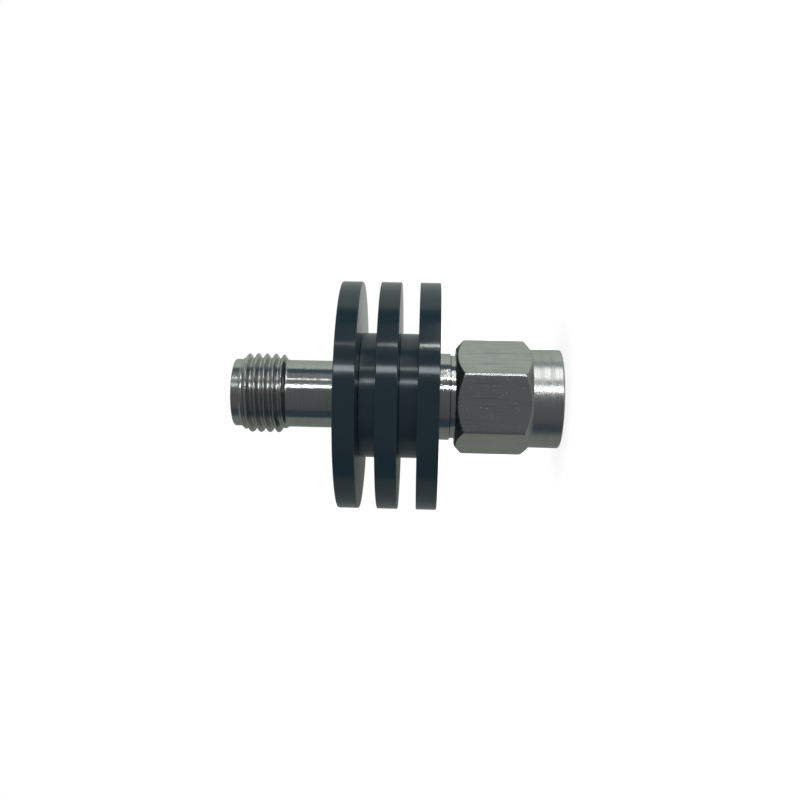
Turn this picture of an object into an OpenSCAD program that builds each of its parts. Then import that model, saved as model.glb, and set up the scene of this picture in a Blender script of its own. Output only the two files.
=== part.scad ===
// Fixed coaxial attenuator: a finned heat sink between a threaded jack and a plug with a coupling nut.
// The coaxial axis is Z. The part stands on the nut's front face, with the plug down and the jack up.
// All sizes are in millimetres and all angles in degrees.

/* [Heat sink] */
// Diameter of the fins
fin_diameter = 18; // [14:0.5:26]
// Thickness of one fin
fin_thickness = 1.6; // [1.2:0.1:3]
// Clear gap between two fins
fin_gap = 1.45; // [1:0.05:3]
// Number of fins
fin_count = 3; // [3:1:8]
// Diameter of the hub between the fins
hub_diameter = 9.9; // [8:0.1:12]
// Chamfer that breaks the rims of the fins
fin_chamfer = 0.15; // [0.05:0.05:0.4]
// Diameter of the bore that takes the two shells and the chip carrier
sink_bore = 6.7; // [6.4:0.05:7]

/* [Coupling nut] */
// Width across the flats of the hexagon
nut_across_flats = 8; // [7.9:0.05:9.5]
// Length of the hexagon
nut_hex_length = 5.9; // [5.7:0.1:8]
// Diameter of the round nose in front of the hexagon
nut_nose_diameter = 7.8; // [7.2:0.05:7.85]
// Length of the round nose
nut_nose_length = 2.35; // [2.1:0.05:4]
// Angle between the chamfers and the end faces of the hexagon
nut_chamfer_angle = 40; // [25:1:50]
// Chamfer at the outer and inner edges of the nut's turned faces
nut_edge = 0.12; // [0.05:0.01:0.2]
// Minor diameter of the nut's inside thread
nut_thread_bore = 5.66; // [5.6:0.01:5.8]
// Mouth diameter of the lead-in chamfer of the inside thread
nut_lead_diameter = 6.5; // [6.2:0.05:6.9]
// Length of the nut behind its ring groove
nut_lip = 1; // [0.6:0.05:1.2]
// Gap between the nut and the plug's collar with the nut pushed right back
nut_back_gap = 0.4; // [0.2:0.05:1]
// End play of the nut on the plug
nut_play = 0.3; // [0.1:0.05:0.4]
// Turn of the hexagon about the axis
nut_turn = -7; // [-30:1:30]

/* [Plug] */
// Diameter of the plug body that the nut turns on
plug_body_diameter = 6.62; // [6.3:0.02:6.7]
// Step of the collar over the heat sink's bore, on the radius
plug_collar_step = 0.1; // [0.05:0.05:0.8]
// Length of that collar between the nut and the heat sink
plug_collar_length = 0.9; // [0.5:0.05:2]
// Diameter of the outer contact sleeve
plug_sleeve_diameter = 4.55; // [4.3:0.01:4.9]
// Wall of that sleeve
plug_sleeve_wall = 0.205; // [0.15:0.005:0.4]
// Length of that sleeve in front of the shoulder
plug_sleeve_length = 2.6; // [2.2:0.1:2.9]
// Length of the body between the shoulder and the ring groove
plug_land = 0.95; // [0.7:0.05:1.1]
// Diameter of the centre pin
pin_diameter = 0.92; // [0.88:0.01:0.96]
// Length of the centre pin in front of the sleeve's end
pin_reach = 2.4; // [1.8:0.1:2.7]
// Diameter of the flat at the pin's point
pin_point_diameter = 0.35; // [0.2:0.05:0.6]
// Length of the pin's tapered point
pin_taper = 0.5; // [0.2:0.05:0.9]

/* [Jack] */
// Diameter of the jack's outside thread
jack_thread_diameter = 6.3; // [6.1:0.01:6.4]
// Length of that thread
jack_thread_length = 3.75; // [2.5:0.05:6]
// Pitch of that thread
jack_thread_pitch = 0.706; // [0.6:0.002:0.75]
// Wall of the jack round its mouth, at the neck and the nose
jack_wall = 0.37; // [0.25:0.01:0.5]
// Length of the neck between the heat sink and the thread
jack_neck_length = 4.2; // [2.5:0.1:8]
// Length of the nose in front of the thread
jack_nose_length = 0.55; // [0.3:0.05:1.2]
// Depth of the mouth
jack_mouth_depth = 1.9; // [1.5:0.05:2.4]
// Chamfer at the turned edges of both shells
shell_edge = 0.1; // [0.04:0.01:0.15]
// Bore of the contact's socket
socket_bore = 0.95; // [0.9:0.01:1]
// Depth of that bore
socket_depth = 2.8; // [2.2:0.1:3.6]
// Width of the slots that make the socket springy
socket_slot_width = 0.14; // [0.08:0.01:0.16]
// Length of those slots
socket_slot_length = 2.3; // [1.5:0.1:3]

/* [Coaxial line] */
// Diameter of the flange that keeps each bead in its shell
bead_flange_diameter = 4.9; // [4.4:0.05:5.2]
// Length of that flange
bead_flange_length = 0.7; // [0.4:0.05:1]
// Diameter of the centre conductors inside the beads
conductor_diameter = 1.27; // [1.15:0.01:1.4]
// Diameter of the flange that keeps each conductor in its bead
conductor_flange_diameter = 1.9; // [1.6:0.05:2.2]
// Length of that flange
conductor_flange_length = 0.4; // [0.25:0.05:0.6]

/* [Attenuator chip] */
// Length of the chip along the axis
chip_length = 3.3; // [2.2:0.1:3.6]
// Width of the chip
chip_width = 4.2; // [3.7:0.1:5]
// Thickness of the chip
chip_thickness = 0.4; // [0.25:0.05:0.6]
// Length of chip that each conductor's fork grips
chip_grip = 0.4; // [0.2:0.05:0.6]
// Diameter of the chamber round the chip, between the two carriers
chamber_diameter = 3; // [2.6:0.1:3.4]

/* [Snap ring and gasket] */
// Height of the snap ring along the axis
ring_height = 0.4; // [0.3:0.02:0.5]
// Radial width of the snap ring
ring_width = 0.5; // [0.35:0.05:0.6]
// Depth to which the ring reaches into the nut, on the radius
ring_bite = 0.15; // [0.1:0.01:0.25]
// Width of the split in the ring
ring_split = 0.9; // [0.4:0.1:2]
// Thickness of the face gasket
gasket_thickness = 0.75; // [0.5:0.05:1]
// Radial width of the face gasket
gasket_width = 0.68; // [0.4:0.02:0.8]

/* [Clearances] */
// Clearance on the radius between the nut and the plug body
running_clearance = 0.05; // [0.03:0.01:0.1]
// Clearance above and below the snap ring in the nut's groove
ring_clearance = 0.02; // [0.01:0.01:0.04]
// Clearance between the gasket and the end of the nut's thread
gasket_clearance = 0.15; // [0.05:0.05:0.4]
// Clearance on the radius between a mating sleeve and the jack's mouth
mouth_clearance = 0.025; // [0.01:0.005:0.05]
// Clearance on the radius where pieces are pressed or slid together
fit_clearance = 0.02; // [0.01:0.01:0.03]
// Clearance at each end of the chip and of the bead flanges
end_clearance = 0.02; // [0.01:0.01:0.05]

/* [Hidden] */
$fn = 96;
HEX = 6;
// Angle of the thread's flanks to a cross section; its depth and crest flat are shares of the pitch
THREAD_FLANK = 30;
THREAD_DEPTH = 0.6;
THREAD_CREST = 0.125;
OVERCUT = 0.5;

// Heights along the axis, from the nut's front face upwards
nut_length = nut_nose_length + nut_hex_length;
collar_z = nut_length + nut_back_gap;
sink_z = collar_z + plug_collar_length;
sink_length = fin_count * fin_thickness + (fin_count - 1) * fin_gap;
sink_top_z = sink_z + sink_length;
thread_z = sink_top_z + jack_neck_length;
thread_top_z = thread_z + jack_thread_length;
jack_top_z = thread_top_z + jack_nose_length;
jack_plane_z = jack_top_z - jack_mouth_depth;

// The ring sits at the back of its groove in the plug, with the end play in front of it
nut_groove_top_z = nut_length - nut_lip;
ring_z = nut_groove_top_z - ring_clearance - ring_height;
nut_groove_z = ring_z - ring_clearance;
plug_groove_z = ring_z - nut_play - ring_clearance;
shoulder_z = plug_groove_z - plug_land;
plug_plane_z = shoulder_z - plug_sleeve_length;
pin_tip_z = plug_plane_z - pin_reach;
gasket_z = shoulder_z - gasket_thickness;
nut_counterbore_z = gasket_z - gasket_clearance;

// The carrier spans the chip and the conductor flanges, and the shells' spigots fill the rest of the bore
carrier_length = chip_length + 2 * (conductor_flange_length + end_clearance);
carrier_z = sink_z + (sink_length - carrier_length) / 2;
carrier_top_z = carrier_z + carrier_length;
chip_z = carrier_z + conductor_flange_length + end_clearance;

// Radii that two pieces share
spigot_radius = sink_bore / 2 - fit_clearance;
collar_radius = sink_bore / 2 + plug_collar_step;
sleeve_radius = plug_sleeve_diameter / 2;
mouth_radius = sleeve_radius + mouth_clearance;
neck_radius = mouth_radius + jack_wall;
bead_bore_radius = sleeve_radius - plug_sleeve_wall;
bead_radius = bead_bore_radius - fit_clearance;
bead_flange_radius = bead_flange_diameter / 2;
conductor_radius = conductor_diameter / 2;
nut_bore_radius = plug_body_diameter / 2 + running_clearance;
ring_outer_radius = nut_bore_radius + ring_bite;
ring_inner_radius = ring_outer_radius - ring_width;
nut_groove_radius = ring_outer_radius + running_clearance;
plug_groove_radius = ring_inner_radius - running_clearance;
chip_slot = chip_thickness + 2 * fit_clearance;

// Colours as the finished pieces look
BLACK_ANODISED = "#2a3136";
STEEL = "#a9aba6";
PTFE = "#f0efe8";
GOLD = "#c9a24a";
SPRING_BRONZE = "#b98a4a";
SILICONE = "#b4583a";
PLATED_BRASS = "#c8b98c";
ALUMINA = "#e9e6de";

// A round piece from its half outline, given as [radius, height] points
module turned(outline) {
    rotate_extrude() polygon(outline);
}

// Half outline of an insulating bead from its flanged inner end; side is 1 upwards and -1 downwards
function bead_outline(inner_z, outer_z, side) = [
    [conductor_radius + fit_clearance, inner_z],
    [bead_flange_radius, inner_z],
    [bead_flange_radius, inner_z + side * bead_flange_length],
    [bead_radius, inner_z + side * bead_flange_length],
    [bead_radius, outer_z],
    [conductor_radius + fit_clearance, outer_z]
];

// Fork at a conductor's inner end, centred on the axis: a slot that takes the chip's edge
module chip_fork_slot() {
    translate([-conductor_flange_diameter / 2, -chip_slot / 2, chip_z - end_clearance])
        cube([conductor_flange_diameter, chip_slot, chip_length + 2 * end_clearance]);
}

// Finned body: all fins, the hub and the bore are one turned outline
module heat_sink() {
    radius = fin_diameter / 2;
    pitch = fin_thickness + fin_gap;
    fins = [
        for (i = [0 : fin_count - 1])
            let (low = sink_z + i * pitch, high = low + fin_thickness)
                each [
                    [hub_diameter / 2, low],
                    [radius - fin_chamfer, low],
                    [radius, low + fin_chamfer],
                    [radius, high - fin_chamfer],
                    [radius - fin_chamfer, high],
                    [hub_diameter / 2, high]
                ]
    ];
    color(BLACK_ANODISED)
        turned(concat([[sink_bore / 2, sink_z]], fins, [[sink_bore / 2, sink_top_z]]));
}

// One ridge of the jack's thread round its middle height, with the radii at its lower and upper foot
function thread_ridge(middle, low_foot, high_foot) =
    let (
        crest = jack_thread_diameter / 2,
        flat = THREAD_CREST * jack_thread_pitch / 2,
        spread = tan(THREAD_FLANK)
    )
    [
        [low_foot, middle - flat - (crest - low_foot) * spread],
        [crest, middle - flat],
        [crest, middle + flat],
        [high_foot, middle + flat + (crest - high_foot) * spread]
    ];

// Outer conductor of the jack: spigot in the heat sink, neck, ridges of the thread, nose and mouth
module jack_shell() {
    root = jack_thread_diameter / 2 - THREAD_DEPTH * jack_thread_pitch;
    ridge_count = floor(jack_thread_length / jack_thread_pitch);
    last = ridge_count - 1;
    first_z = thread_z + (jack_thread_length - last * jack_thread_pitch) / 2;
    ridges = [
        for (i = [0 : last])
            each thread_ridge(
                first_z + i * jack_thread_pitch,
                i == 0 ? neck_radius : root,
                i == last ? neck_radius : root
            )
    ];
    flange_pocket = bead_flange_radius + fit_clearance;
    pocket_z = carrier_top_z + bead_flange_length + end_clearance;
    color(STEEL)
        turned([
            [flange_pocket, carrier_top_z],
            [spigot_radius, carrier_top_z],
            [spigot_radius, sink_top_z],
            [neck_radius, sink_top_z],
            each ridges,
            [neck_radius, jack_top_z - shell_edge],
            [neck_radius - shell_edge, jack_top_z],
            [mouth_radius + shell_edge, jack_top_z],
            [mouth_radius, jack_top_z - shell_edge],
            [mouth_radius, jack_plane_z],
            [bead_bore_radius, jack_plane_z],
            [bead_bore_radius, pocket_z],
            [flange_pocket, pocket_z]
        ]);
}

module jack_dielectric() {
    color(PTFE) turned(bead_outline(carrier_top_z, jack_plane_z, 1));
}

// Centre contact of the jack: slotted socket outside, flange and chip fork inside
module jack_contact() {
    flange_z = carrier_top_z - conductor_flange_length;
    fork_z = flange_z - chip_grip;
    slot_z = jack_plane_z - socket_slot_length;
    color(GOLD)
        difference() {
            union() {
                translate([0, 0, fork_z])
                    cylinder(h = jack_plane_z - fork_z, r = conductor_radius);
                translate([0, 0, flange_z])
                    cylinder(h = conductor_flange_length, d = conductor_flange_diameter);
            }
            translate([0, 0, jack_plane_z - socket_depth])
                cylinder(h = socket_depth + OVERCUT, d = socket_bore);
            for (turn = [45, 135])
                rotate(turn)
                    translate([-conductor_diameter, -socket_slot_width / 2, slot_z])
                        cube([2 * conductor_diameter, socket_slot_width, socket_slot_length + OVERCUT]);
            chip_fork_slot();
        }
}

// Outer conductor of the plug: sleeve, shoulder, ring groove, collar and spigot in the heat sink
module plug_shell() {
    body = plug_body_diameter / 2;
    flange_pocket = bead_flange_radius + fit_clearance;
    pocket_z = carrier_z - bead_flange_length - end_clearance;
    color(STEEL)
        turned([
            [bead_bore_radius, plug_plane_z],
            [sleeve_radius - shell_edge, plug_plane_z],
            [sleeve_radius, plug_plane_z + shell_edge],
            [sleeve_radius, shoulder_z],
            [body - shell_edge, shoulder_z],
            [body, shoulder_z + shell_edge],
            [body, plug_groove_z],
            [plug_groove_radius, plug_groove_z],
            [plug_groove_radius, nut_groove_top_z],
            [body, nut_groove_top_z],
            [body, collar_z],
            [collar_radius - shell_edge, collar_z],
            [collar_radius, collar_z + shell_edge],
            [collar_radius, sink_z],
            [spigot_radius, sink_z],
            [spigot_radius, carrier_z],
            [flange_pocket, carrier_z],
            [flange_pocket, pocket_z],
            [bead_bore_radius, pocket_z]
        ]);
}

module plug_dielectric() {
    color(PTFE) turned(bead_outline(carrier_z, plug_plane_z, -1));
}

// Centre pin of the plug: pointed pin outside, flange and chip fork inside
module plug_pin() {
    flange_top_z = carrier_z + conductor_flange_length;
    fork_top_z = flange_top_z + chip_grip;
    flange = conductor_flange_diameter / 2;
    color(GOLD)
        difference() {
            turned([
                [0, pin_tip_z],
                [pin_point_diameter / 2, pin_tip_z],
                [pin_diameter / 2, pin_tip_z + pin_taper],
                [pin_diameter / 2, plug_plane_z],
                [conductor_radius, plug_plane_z],
                [conductor_radius, carrier_z],
                [flange, carrier_z],
                [flange, flange_top_z],
                [conductor_radius, flange_top_z],
                [conductor_radius, fork_top_z],
                [0, fork_top_z]
            ]);
            chip_fork_slot();
        }
}

// Seal on the plug's shoulder, round the sleeve
module face_gasket() {
    inner = sleeve_radius + fit_clearance;
    outer = inner + gasket_width;
    color(SILICONE)
        turned([
            [inner, gasket_z],
            [outer, gasket_z],
            [outer, shoulder_z],
            [inner, shoulder_z]
        ]);
}

// Split ring that keeps the nut on the plug
module snap_ring() {
    color(SPRING_BRONZE)
        difference() {
            turned([
                [ring_inner_radius, ring_z],
                [ring_outer_radius, ring_z],
                [ring_outer_radius, ring_z + ring_height],
                [ring_inner_radius, ring_z + ring_height]
            ]);
            translate([0, -ring_split / 2, ring_z - OVERCUT])
                cube([nut_across_flats, ring_split, ring_height + 2 * OVERCUT]);
        }
}

// Outside of the nut: a hexagon with turned chamfers at both ends, and the round nose
module nut_blank() {
    corner = nut_across_flats / (2 * cos(180 / HEX));
    face = nut_across_flats / 2 - nut_edge;
    chamfer_height = (corner - face) * tan(nut_chamfer_angle);
    nose = nut_nose_diameter / 2;
    intersection() {
        rotate(nut_turn)
            translate([0, 0, nut_nose_length])
                cylinder(h = nut_hex_length, r = corner, $fn = HEX);
        turned([
            [0, nut_nose_length],
            [face, nut_nose_length],
            [corner, nut_nose_length + chamfer_height],
            [corner, nut_length - chamfer_height],
            [face, nut_length],
            [0, nut_length]
        ]);
    }
    turned([
        [0, 0],
        [nose - nut_edge, 0],
        [nose, nut_edge],
        [nose, nut_nose_length + nut_edge],
        [0, nut_nose_length + nut_edge]
    ]);
}

// Coupling nut: threaded bore with its lead-in, counterbore for the plug body, and the ring groove
module coupling_nut() {
    thread = nut_thread_bore / 2;
    lead = nut_lead_diameter / 2;
    color(STEEL)
        difference() {
            nut_blank();
            turned([
                [0, -OVERCUT],
                [lead, -OVERCUT],
                [lead, 0],
                [thread, lead - thread],
                [thread, nut_counterbore_z],
                [nut_bore_radius, nut_counterbore_z],
                [nut_bore_radius, nut_groove_z],
                [nut_groove_radius, nut_groove_z],
                [nut_groove_radius, nut_groove_top_z],
                [nut_bore_radius, nut_groove_top_z],
                [nut_bore_radius, nut_length - nut_edge],
                [nut_bore_radius + nut_edge, nut_length],
                [nut_bore_radius + nut_edge, nut_length + OVERCUT],
                [0, nut_length + OVERCUT]
            ]);
        }
}

// Half of the round clamp that holds the chip's edges, on the side where Y is negative
module chip_carrier() {
    color(PLATED_BRASS)
        difference() {
            translate([0, 0, carrier_z])
                cylinder(h = carrier_length, r = spigot_radius);
            translate([-sink_bore, -fit_clearance / 2, carrier_z - OVERCUT])
                cube([2 * sink_bore, sink_bore, carrier_length + 2 * OVERCUT]);
            translate([0, 0, carrier_z - OVERCUT])
                cylinder(h = carrier_length + 2 * OVERCUT, d = chamber_diameter);
            translate([-chip_width / 2 - fit_clearance, -chip_slot / 2, carrier_z - OVERCUT])
                cube([chip_width + 2 * fit_clearance, chip_slot, carrier_length + 2 * OVERCUT]);
        }
}

module front_chip_carrier() {
    chip_carrier();
}

module rear_chip_carrier() {
    rotate(180) chip_carrier();
}

module attenuator_chip() {
    color(ALUMINA)
        translate([-chip_width / 2, -chip_thickness / 2, chip_z])
            cube([chip_width, chip_thickness, chip_length]);
}

heat_sink();
jack_shell();
jack_dielectric();
jack_contact();
plug_shell();
plug_dielectric();
plug_pin();
face_gasket();
snap_ring();
coupling_nut();
front_chip_carrier();
rear_chip_carrier();
attenuator_chip();
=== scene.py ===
"""Surfaces, finishes and stage of a fixed coaxial attenuator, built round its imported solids."""

import math

import bpy
import numpy as np
from bpy.props import FloatProperty, FloatVectorProperty, PointerProperty
from mathutils import Matrix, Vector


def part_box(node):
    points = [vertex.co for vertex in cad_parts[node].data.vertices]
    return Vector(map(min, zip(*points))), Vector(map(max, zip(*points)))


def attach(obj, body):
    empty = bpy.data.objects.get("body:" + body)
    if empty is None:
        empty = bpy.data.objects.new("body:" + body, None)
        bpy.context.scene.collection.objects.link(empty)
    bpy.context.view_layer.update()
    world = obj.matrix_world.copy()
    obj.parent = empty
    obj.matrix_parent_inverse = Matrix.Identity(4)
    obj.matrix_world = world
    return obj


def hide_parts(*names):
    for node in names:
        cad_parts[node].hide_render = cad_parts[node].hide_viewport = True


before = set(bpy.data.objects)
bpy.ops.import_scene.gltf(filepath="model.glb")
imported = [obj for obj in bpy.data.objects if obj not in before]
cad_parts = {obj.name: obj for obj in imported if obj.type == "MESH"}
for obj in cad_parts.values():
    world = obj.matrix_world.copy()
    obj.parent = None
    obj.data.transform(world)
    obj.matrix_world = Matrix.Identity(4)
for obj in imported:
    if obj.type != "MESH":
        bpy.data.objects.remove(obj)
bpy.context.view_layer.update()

bl_info = {
    "name": "Coaxial attenuator",
    "version": (1, 0, 0),
    "blender": (4, 5, 0),
    "location": "3D View > Sidebar > Attenuator",
    "description": "Turned surfaces and finishes for a finned coaxial attenuator",
    "category": "Add Mesh",
}

MM = 0.001
# Clearance between fitted pieces, room round the snap ring, and end play of the nut
FIT_GAP = 0.02 * MM
RING_GAP = 0.05 * MM
NUT_FLOAT = 0.3 * MM
# Points on each rounded corner of an outline
ARC_STEPS = 7
BODY, RING, NUT = "attenuator_body", "snap_ring", "coupling_nut"


def linear(hex_colour):
    """sRGB hex value as linear red, green and blue.

    A value x is x / 12.92 near black and ((x + 0.055) / 1.055) ^ 2.4 above.
    """
    values = [int(hex_colour[i : i + 2], 16) / 255 for i in (1, 3, 5)]
    return tuple(v / 12.92 if v <= 0.04045 else ((v + 0.055) / 1.055) ** 2.4 for v in values)


def span(node):
    """Lowest height, highest height and largest radius of a turned solid of the frame."""
    low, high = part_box(node)
    return low.z, high.z, high.x


def length(name, description, millimetres):
    """A size that a user may change, kept in metres."""
    size = millimetres * MM
    return FloatProperty(
        name=name, description=description, default=size, unit="LENGTH", subtype="DISTANCE", precision=6
    )


def angle(name, description, degrees):
    """An angle that a user may change, kept in radians."""
    return FloatProperty(name=name, description=description, default=math.radians(degrees), subtype="ANGLE")


def colour(name, description, hex_colour):
    """A colour that a user may change, kept linear."""
    shade = linear(hex_colour)
    return FloatVectorProperty(
        name=name, description=description, default=shade, size=3, min=0, max=1, subtype="COLOR"
    )


class AttenuatorSizes(bpy.types.PropertyGroup):
    """Sizes of the dressed pieces that the solids' boxes do not give."""

    fin_thickness: length("Fin thickness", "Thickness of one fin", 1.6)
    hub_diameter: length("Hub diameter", "Diameter of the hub between the fins", 9.9)
    sink_bore: length("Heat sink bore", "Bore that takes the two shells", 6.7)
    fin_edge: length("Fin edge", "Rounding of the fins' rims", 0.07)
    thread_radius: length("Thread radius", "Radius over the crests of the jack's thread", 3.15)
    thread_pitch: length("Thread pitch", "Rise of the coupling threads in one turn", 0.7056)
    thread_depth: length("Thread depth", "Depth of the coupling threads", 0.37)
    thread_crest: length("Thread crest", "Width of the flat on a thread's crest", 0.14)
    thread_length: length("Thread length", "Length of the jack's thread", 3.8)
    thread_run_out: length("Thread run-out", "Length over which the jack's thread fades into its neck", 0.7)
    jack_nose: length("Jack nose", "Length of the jack in front of its thread", 0.6)
    jack_mouth: length("Jack mouth", "Radius of the jack's mouth", 2.3)
    jack_mouth_depth: length("Mouth depth", "Depth of the jack's mouth", 1.9)
    jack_wall: length("Jack wall", "Wall of the jack's neck and nose round the mouth", 0.37)
    bead_bore: length("Bead bore", "Radius of the shells' bore round the beads", 2.07)
    bead_flange: length("Bead flange", "Length of the flange that keeps a bead in its shell", 0.7)
    conductor: length("Conductor", "Radius of the centre conductors", 0.635)
    socket: length("Socket bore", "Radius of the socket's bore", 0.475)
    socket_depth: length("Socket depth", "Depth of the socket's bore", 2.8)
    slot_width: length("Slot width", "Width of the slots between the socket's fingers", 0.14)
    slot_length: length("Slot length", "Length of the slots between the socket's fingers", 2.3)
    conductor_flange: length("Conductor flange", "Length of the flange on a conductor, behind its bead", 0.4)
    fork_slot: length("Fork slot", "Width of the slot in a conductor's fork", 0.44)
    fork_length: length("Fork length", "Length of a conductor's fork", 0.4)
    pin: length("Pin", "Radius of the centre pin", 0.46)
    pin_point: length("Pin point", "Radius of the flat at the pin's point", 0.175)
    pin_taper: length("Pin taper", "Length of the pin's tapered point", 0.5)
    across_flats: length("Across flats", "Width of the nut's hexagon across its flats", 8)
    nose_length: length("Nut nose length", "Length of the nut's round nose", 2.35)
    nose_diameter: length("Nut nose diameter", "Diameter of the nut's round nose", 7.8)
    nut_edge: length("Nut edge", "Break of the nut's turned edges", 0.12)
    nut_minor: length("Nut minor radius", "Radius of the crests of the nut's thread", 2.83)
    nut_bore: length("Nut bore", "Radius of the nut's bore round the plug", 3.36)
    nut_lead: length("Nut lead-in", "Radius of the mouth of the nut's lead-in chamfer", 3.25)
    nut_counterbore: length("Nut counterbore", "Height at which the nut's thread ends", 4.66)
    plug_sleeve: length("Plug sleeve", "Radius of the plug's contact sleeve", 2.275)
    plug_body: length("Plug body", "Radius of the plug body that the nut turns on", 3.31)
    plug_groove: length("Plug groove", "Radius at the bottom of the plug's ring groove", 2.96)
    plug_collar: length("Plug collar", "Radius of the collar next to the heat sink", 3.45)
    collar_length: length("Collar length", "Length of the collar next to the heat sink", 0.9)
    ring_split: length("Ring split", "Width of the split in the snap ring", 0.9)
    gasket_edge: length("Gasket edge", "Rounding of the moulded gasket", 0.12)
    soft_edge: length("Soft edge", "Rounding of small turned edges", 0.05)
    nut_turn: angle("Nut turn", "Turn of the hexagon about the axis", -7)
    chamfer_angle: angle("Chamfer angle", "Angle between the hexagon's chamfers and its end faces", 40)


class AttenuatorColours(bpy.types.PropertyGroup):
    """Colours of the finishes and of the floor."""

    anodised: colour("Black anodising", "Dyed oxide of the heat sink", "#1b2a31")
    anodised_worn: colour("Worn anodising", "Thin oxide along the fins' rims", "#243238")
    # Painted light: the hub between the fins is coloured paler than the fins' anodising, to offset the shade
    # the fins cast on it; the real oxide is the same.
    anodised_hub_painted_lighter: colour("Hub anodising, painted lighter", "Hub's anodising, painted paler to offset the fins' shade", "#3c545e")
    steel: colour("Stainless steel", "Turned shells and nut", "#bdbfbb")
    steel_dark: colour("Shaded steel", "Deeper turning marks", "#b1b3b0")
    steel_score: colour("Scored steel", "Deeper lines along the nut's flats", "#979996")
    ptfe: colour("PTFE", "Insulating beads", "#f0efe8")
    gold: colour("Gold plate", "Centre contacts", "#c9a24a")
    bronze: colour("Spring bronze", "Snap ring", "#b98a4a")
    silicone: colour("Silicone rubber", "Face gasket", "#b4583a")
    brass: colour("Plated brass", "Chip carriers", "#c8b98c")
    alumina: colour("Alumina", "Chip body", "#e9e6de")
    film: colour("Resistive film", "Printed film on the chip", "#3a3330")
    floor: colour("Floor", "Pale studio floor", "#e6e6e4")


def unit(vectors):
    """Rows scaled to length one."""
    return vectors / np.linalg.norm(vectors, axis=-1, keepdims=True)


def smooth_min(a, b, width):
    """Lower of two values, rounded: their mean less half the root of (a - b)^2 + width^2."""
    return (a + b - np.sqrt((a - b) ** 2 + width**2)) / 2


def smooth_max(a, b, width):
    """Higher of two values with the change-over rounded in the same way."""
    return -smooth_min(-a, -b, width)


def rounded_arcs(corners):
    """Corners (radius, height, rounding) of a closed outline as tangent arcs.

    An arc's centre lies on the bisector at rounding / sin(half angle) from the corner, and its ends lie
    rounding / tan(half angle) along the sides.
    """
    corners = np.asarray(corners, float)
    here, rounding = corners[:, :2], corners[:, 2:]
    back = unit(np.roll(here, 1, 0) - here)
    ahead = unit(np.roll(here, -1, 0) - here)
    half = np.arccos(np.clip((back * ahead).sum(1, keepdims=True), -1, 1)) / 2
    centre = here + unit(back + ahead) * rounding / np.sin(half)
    start = here + back * rounding / np.tan(half) - centre
    end = here + ahead * rounding / np.tan(half) - centre
    first = np.arctan2(start[:, 1], start[:, 0])
    sweep = (np.arctan2(end[:, 1], end[:, 0]) - first + math.pi) % (2 * math.pi) - math.pi
    turn = first[:, None] + sweep[:, None] * np.linspace(0, 1, ARC_STEPS)
    return centre[:, None] + rounding[:, None] * np.stack([np.cos(turn), np.sin(turn)], -1)


def grid_faces(rows, columns, wrap_rows, wrap_columns):
    """Quads of a grid of points: (row, column), (row, column + 1) and the same two of the next row."""
    row = np.arange(rows if wrap_rows else rows - 1)[:, None]
    column = np.arange(columns if wrap_columns else columns - 1)
    here, below, right = row * columns, (row + 1) % rows * columns, (column + 1) % columns
    return np.stack([here + column, here + right, below + right, below + column], -1).reshape(-1, 4)


def full_turn(columns):
    """Angles of one turn in equal steps."""
    return np.linspace(0, 2 * math.pi, columns, endpoint=False)


def lathe(radii, heights, turn, closed=True):
    """Surface r(s, t) cos t, r(s, t) sin t, z(s): an outline s carried once round the axis by the angle t.

    A closed outline gives a ring. An open one runs from the lower end face to the upper, and both are capped.
    """
    rows, columns = len(heights), len(turn)
    radii = np.broadcast_to(np.reshape(radii, (rows, -1)), (rows, columns))
    heights = np.broadcast_to(np.reshape(heights, (rows, 1)), (rows, columns))
    points = np.stack([radii * np.cos(turn), radii * np.sin(turn), heights], -1)
    first = np.arange(columns)
    return {
        "points": points.reshape(-1, 3),
        "faces": grid_faces(rows, columns, closed, True),
        "caps": [] if closed else [first[::-1], first + (rows - 1) * columns],
    }


def turned(corners, columns=160):
    """Ring with a rounded outline, carried round the axis."""
    outline = rounded_arcs(corners).reshape(-1, 2)
    return lathe(outline[:, 0], outline[:, 1], full_turn(columns))


def rod(corners, columns=64):
    """Solid turned piece: its outline starts and ends on the axis, where the end faces are capped."""
    outline = rounded_arcs(corners)[1:-1].reshape(-1, 2)
    return lathe(outline[:, 0], outline[:, 1], full_turn(columns), closed=False)


def carried(sections):
    """Closed outline carried along an open path and capped: rows follow the outline, columns the path."""
    rows, columns = sections.shape[:2]
    first = np.arange(rows) * columns
    return {
        "points": sections.reshape(-1, 3),
        "faces": grid_faces(rows, columns, True, False),
        "caps": [first, (first + columns - 1)[::-1]],
    }


def arc_bar(corners, start, end, columns):
    """Bar of rounded outline bent round the axis from the start angle to the end angle."""
    outline = rounded_arcs(corners).reshape(-1, 1, 2)
    turn = np.linspace(start, end, columns)
    heights = np.broadcast_to(outline[..., 1], (len(outline), columns))
    return carried(np.stack([outline[..., 0] * np.cos(turn), outline[..., 0] * np.sin(turn), heights], -1))


def fork_prong(radius, slot, low, high, side):
    """Half-round prong: the part of a circle beyond the slot on one side, carried straight down the axis."""
    reach = math.asin(slot / 2 / radius)
    turn = np.linspace(reach, math.pi - reach, 24) + (0 if side > 0 else math.pi)
    x, y = radius * np.cos(turn), radius * np.sin(turn)
    return carried(np.stack([np.column_stack([x, y, np.full_like(x, z)]) for z in (high, low)], 1))


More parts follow.
